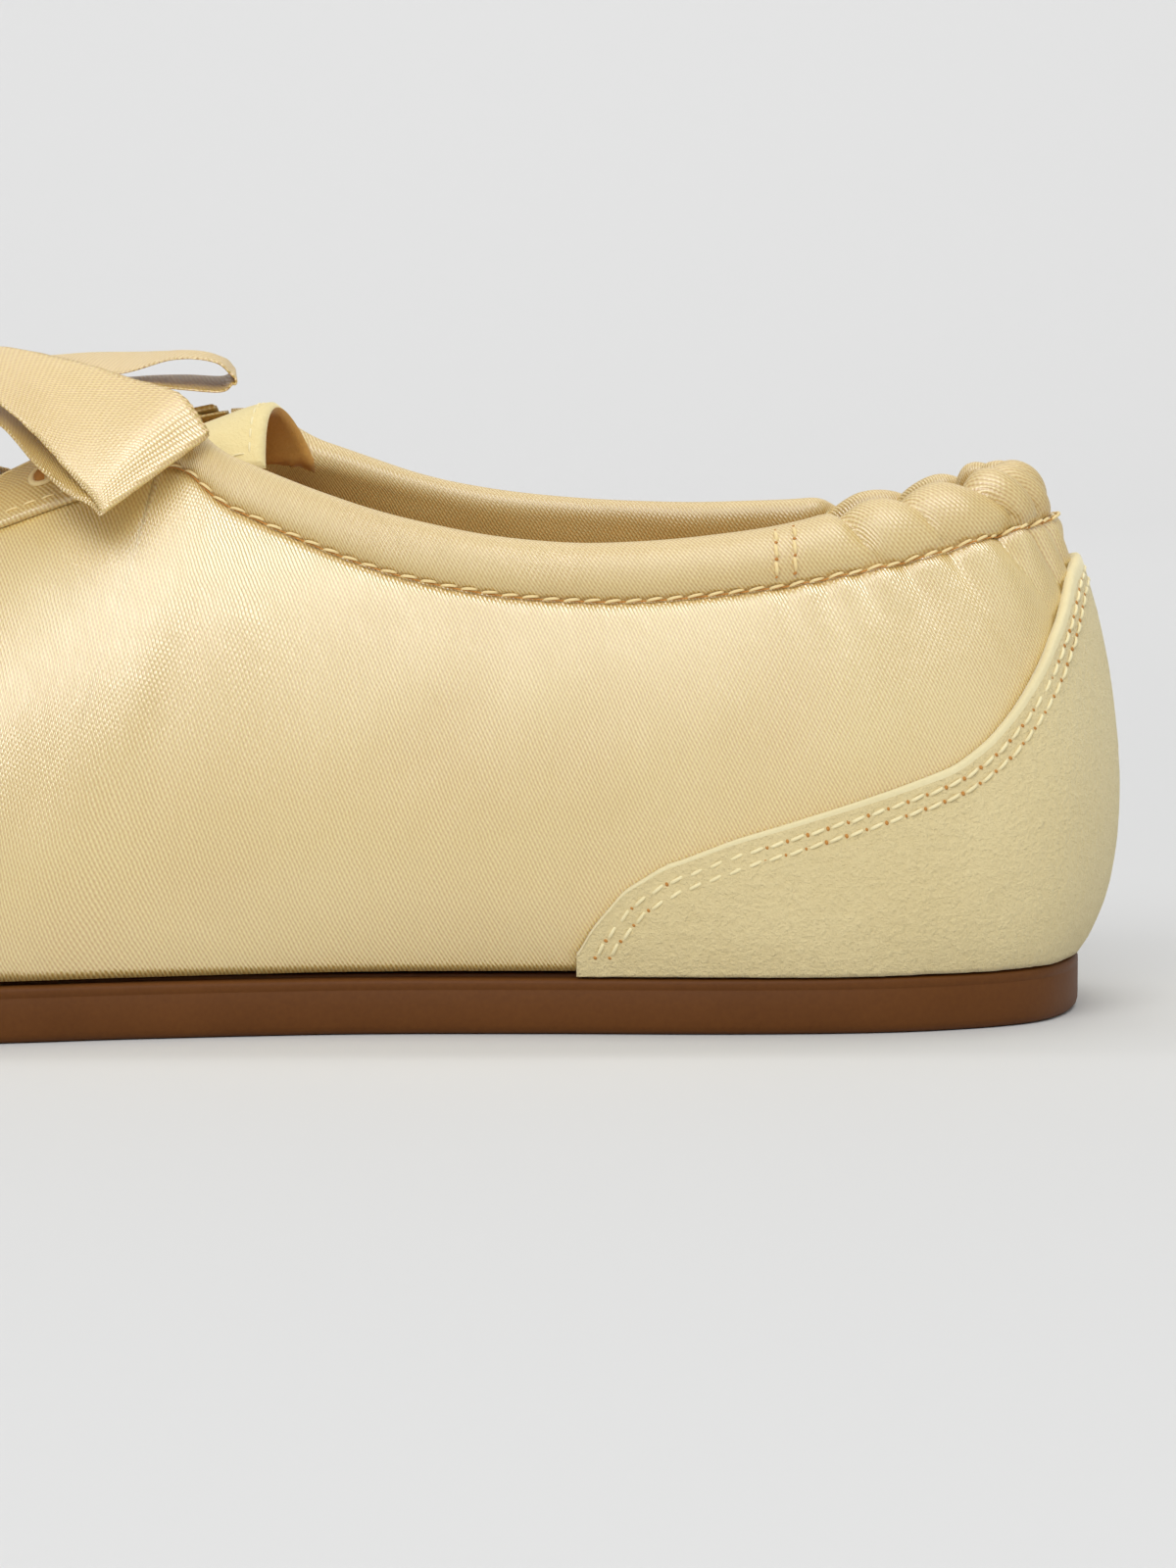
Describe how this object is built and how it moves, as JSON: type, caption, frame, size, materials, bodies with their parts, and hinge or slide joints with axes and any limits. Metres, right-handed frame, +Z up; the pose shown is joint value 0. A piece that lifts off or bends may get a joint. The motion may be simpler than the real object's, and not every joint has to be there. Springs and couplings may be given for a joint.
{
  "type": "ballet slipper",
  "caption": "Low ballet slipper for a left foot: satin upper with gathered elastic heel collar, suede heel overlay, ribbon bow, flat gum-rubber sole.",
  "frame": {"origin": "middle of the footprint box, on the ground under the sole", "axes": "+X towards the heel, -X towards the toe, -Y the outer (lateral) side of this left shoe, +Z up"},
  "size_m": [0.2502, 0.083, 0.0864],
  "materials": {
    "satin": "butter-yellow satin with a fine diagonal twill and a soft strong sheen",
    "suede": "pale yellow suede with a fine short nap",
    "tongue_suede": "pale yellow suede, thin, with a raw cut edge",
    "rubber": "brown gum rubber, smooth and semi-matt",
    "lining": "smooth yellow woven lining",
    "footbed": "pale yellow padded leather sock",
    "board": "bonded fibre board",
    "elastic": "knitted elastic tape",
    "ribbon": "satin ribbon with a ribbed woven edge",
    "thread": "polyester sewing thread"
  },
  "bodies": {
    "upper": {"outsole": "rubber", "insole_board": "board", "footbed": "footbed", "quarter_lateral": "satin", "quarter_medial": "satin", "vamp": "satin", "quarter_lining": "lining", "vamp_lining": "lining", "heel_counter": "suede", "heel_stiffener": "board", "toe_cap": "suede", "toe_puff": "board", "eyestay_lateral": "satin", "eyestay_medial": "satin", "collar_casing_lateral": "satin", "collar_casing_medial": "satin", "collar_casing_heel": "satin", "collar_elastic": "elastic", "bartack_lateral": "thread", "bartack_medial": "thread", "ribbon_cross_lower_under": "ribbon", "ribbon_cross_lower_over": "ribbon", "ribbon_cross_upper_under": "ribbon", "ribbon_cross_upper_over": "ribbon", "bow_knot": "ribbon"},
    "tongue": {"tongue": "tongue_suede"},
    "loop_lateral": {"bow_loop_lateral": "ribbon"},
    "loop_medial": {"bow_loop_medial": "ribbon"},
    "tail_lateral": {"ribbon_tail_lateral": "ribbon"},
    "tail_medial": {"ribbon_tail_medial": "ribbon"}
  },
  "joints": [
    {"name": "tongue_hinge", "type": "hinge", "parent": "upper", "child": "tongue", "pos_m": [-0.04712, 0.00185, 0.0493], "axis": [0, 1, 0], "range_deg": [0, 14], "stiffness_Nm_per_rad": 0.06, "springref_deg": -2.86},
    {"name": "loop_lateral_hinge", "type": "hinge", "parent": "upper", "child": "loop_lateral", "pos_m": [-0.02852, -0.00475, 0.0776], "axis": [-1, 0, 0], "range_deg": [0, 29]},
    {"name": "loop_medial_hinge", "type": "hinge", "parent": "upper", "child": "loop_medial", "pos_m": [-0.02852, 0.00645, 0.0779], "axis": [1, 0, 0], "range_deg": [0, 40]},
    {"name": "tail_lateral_hinge", "type": "hinge", "parent": "upper", "child": "tail_lateral", "pos_m": [-0.03532, -0.00475, 0.0748], "axis": [-1, 0, 0], "range_deg": [0, 50]},
    {"name": "tail_medial_hinge", "type": "hinge", "parent": "upper", "child": "tail_medial", "pos_m": [-0.03532, 0.00645, 0.0748], "axis": [1, 0, 0], "range_deg": [0, 50]}
  ]
}
